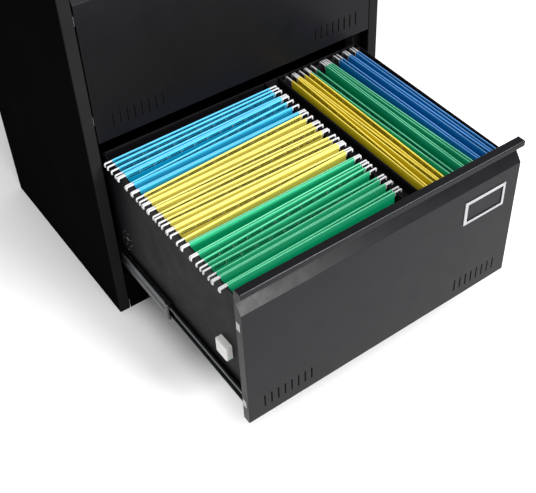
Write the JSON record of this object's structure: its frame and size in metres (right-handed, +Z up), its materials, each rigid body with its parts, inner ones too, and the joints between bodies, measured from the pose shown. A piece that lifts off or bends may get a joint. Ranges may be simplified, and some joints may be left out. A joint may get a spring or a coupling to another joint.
{
  "type": "lateral filing cabinet",
  "caption": "Low, wide steel filing cabinet with drawers on telescopic slides, pulled by a full-width lip, and coloured hanging folders in the open lower drawer.",
  "frame": {"origin": "on the floor, at the middle of the closed cabinet's footprint", "axes": "+X to the cabinet's right as seen from its front, +Y from the drawer fronts to the back, +Z up"},
  "size_m": [0.625, 0.876, 0.752],
  "materials": {
    "cabinet_paint": "dark grey satin powder coat",
    "drawer_paint": "dark grey satin powder coat",
    "frame_steel": "grey primer on steel",
    "slide_steel": "zinc plated",
    "fastener_steel": "zinc plated",
    "black_plastic": "moulded",
    "white_nylon": "moulded",
    "pad_grey": "matt",
    "label_metal": "satin",
    "lock_metal": "polished",
    "rod_white": "white coated steel",
    "card_blue": "coated card",
    "card_yellow": "coated card",
    "card_green": "coated card",
    "card_deep_blue": "coated card"
  },
  "bodies": {
    "carcass": {"left_side_panel": "cabinet_paint", "right_side_panel": "cabinet_paint", "back_panel": "cabinet_paint", "top_panel": "cabinet_paint", "kick_plate": "cabinet_paint", "base_frame": "cabinet_paint", "cabinet_floor": "cabinet_paint", "levelling_glides": "black_plastic", "left_inner_frame": "frame_steel", "right_inner_frame": "frame_steel", "lower_left_outer_slide": "slide_steel", "lower_right_outer_slide": "slide_steel", "upper_left_outer_slide": "slide_steel", "upper_right_outer_slide": "slide_steel", "lock_barrel": "lock_metal"},
    "lower_drawer": {"lower_drawer_front": "drawer_paint", "lower_drawer_front_inner": "drawer_paint", "lower_drawer_left_side": "drawer_paint", "lower_drawer_right_side": "drawer_paint", "lower_drawer_bottom": "drawer_paint", "lower_drawer_back": "drawer_paint", "lower_drawer_hanging_frame": "drawer_paint", "lower_drawer_label_holder": "label_metal", "lower_drawer_interlock_block": "white_nylon", "lower_drawer_front_pads": "pad_grey", "lower_drawer_screws": "fastener_steel", "lower_left_inner_slide": "slide_steel", "lower_right_inner_slide": "slide_steel"},
    "upper_drawer": {"upper_drawer_front": "drawer_paint", "upper_drawer_front_inner": "drawer_paint", "upper_drawer_left_side": "drawer_paint", "upper_drawer_right_side": "drawer_paint", "upper_drawer_bottom": "drawer_paint", "upper_drawer_back": "drawer_paint", "upper_drawer_hanging_frame": "drawer_paint", "upper_drawer_label_holder": "label_metal", "upper_drawer_interlock_block": "white_nylon", "upper_drawer_front_pads": "pad_grey", "upper_drawer_screws": "fastener_steel", "upper_left_inner_slide": "slide_steel", "upper_right_inner_slide": "slide_steel"},
    "lower_left_middle": {"lower_left_middle_slide": "slide_steel", "lower_left_end_stop": "black_plastic"},
    "lower_right_middle": {"lower_right_middle_slide": "slide_steel", "lower_right_end_stop": "black_plastic"},
    "upper_left_middle": {"upper_left_middle_slide": "slide_steel", "upper_left_end_stop": "black_plastic"},
    "upper_right_middle": {"upper_right_middle_slide": "slide_steel", "upper_right_end_stop": "black_plastic"},
    "lock": {"lock_plug": "lock_metal", "lock_cam": "fastener_steel"},
    "interlock": {"interlock_bar": "frame_steel"},
    "left_folders": {"left_blue_folders": "card_blue", "left_yellow_folders": "card_yellow", "left_green_folders": "card_green", "left_folder_rods": "rod_white"},
    "right_folders": {"right_yellow_folders": "card_yellow", "right_green_folders": "card_green", "right_blue_folders": "card_deep_blue", "right_folder_rods": "rod_white"}
  },
  "joints": [
    {"name": "lower_drawer_slide", "type": "slide", "parent": "carcass", "child": "lower_drawer", "axis": [0, -1, 0], "range_m": [-0.419, 0]},
    {"name": "upper_drawer_slide", "type": "slide", "parent": "carcass", "child": "upper_drawer", "axis": [0, 1, 0], "range_m": [-0.419, 0]},
    {"name": "lower_left_middle_slide", "type": "slide", "parent": "carcass", "child": "lower_left_middle", "axis": [0, -1, 0], "range_m": [-0.2095, 0]},
    {"name": "lower_right_middle_slide", "type": "slide", "parent": "carcass", "child": "lower_right_middle", "axis": [0, -1, 0], "range_m": [-0.2095, 0]},
    {"name": "upper_left_middle_slide", "type": "slide", "parent": "carcass", "child": "upper_left_middle", "axis": [0, 1, 0], "range_m": [-0.2095, 0]},
    {"name": "upper_right_middle_slide", "type": "slide", "parent": "carcass", "child": "upper_right_middle", "axis": [0, 1, 0], "range_m": [-0.2095, 0]},
    {"name": "lock_turn", "type": "hinge", "parent": "carcass", "child": "lock", "pos_m": [0.268, -0.2275, 0.73975], "axis": [0, -1, 0], "range_deg": [0, 90]},
    {"name": "interlock_lift", "type": "slide", "parent": "carcass", "child": "interlock", "axis": [0, 0, 1], "range_m": [0, 0.012]},
    {"name": "left_folders_lift", "type": "slide", "parent": "lower_drawer", "child": "left_folders", "axis": [0, 0, 1], "range_m": [0, 0.015]},
    {"name": "right_folders_lift", "type": "slide", "parent": "lower_drawer", "child": "right_folders", "axis": [0, 0, 1], "range_m": [0, 0.015]}
  ],
  "couplings": [
    {"joint": "lower_left_middle_slide", "follows": "lower_drawer_slide", "ratio": 0.5},
    {"joint": "lower_right_middle_slide", "follows": "lower_drawer_slide", "ratio": 0.5},
    {"joint": "upper_left_middle_slide", "follows": "upper_drawer_slide", "ratio": 0.5},
    {"joint": "upper_right_middle_slide", "follows": "upper_drawer_slide", "ratio": 0.5}
  ]
}
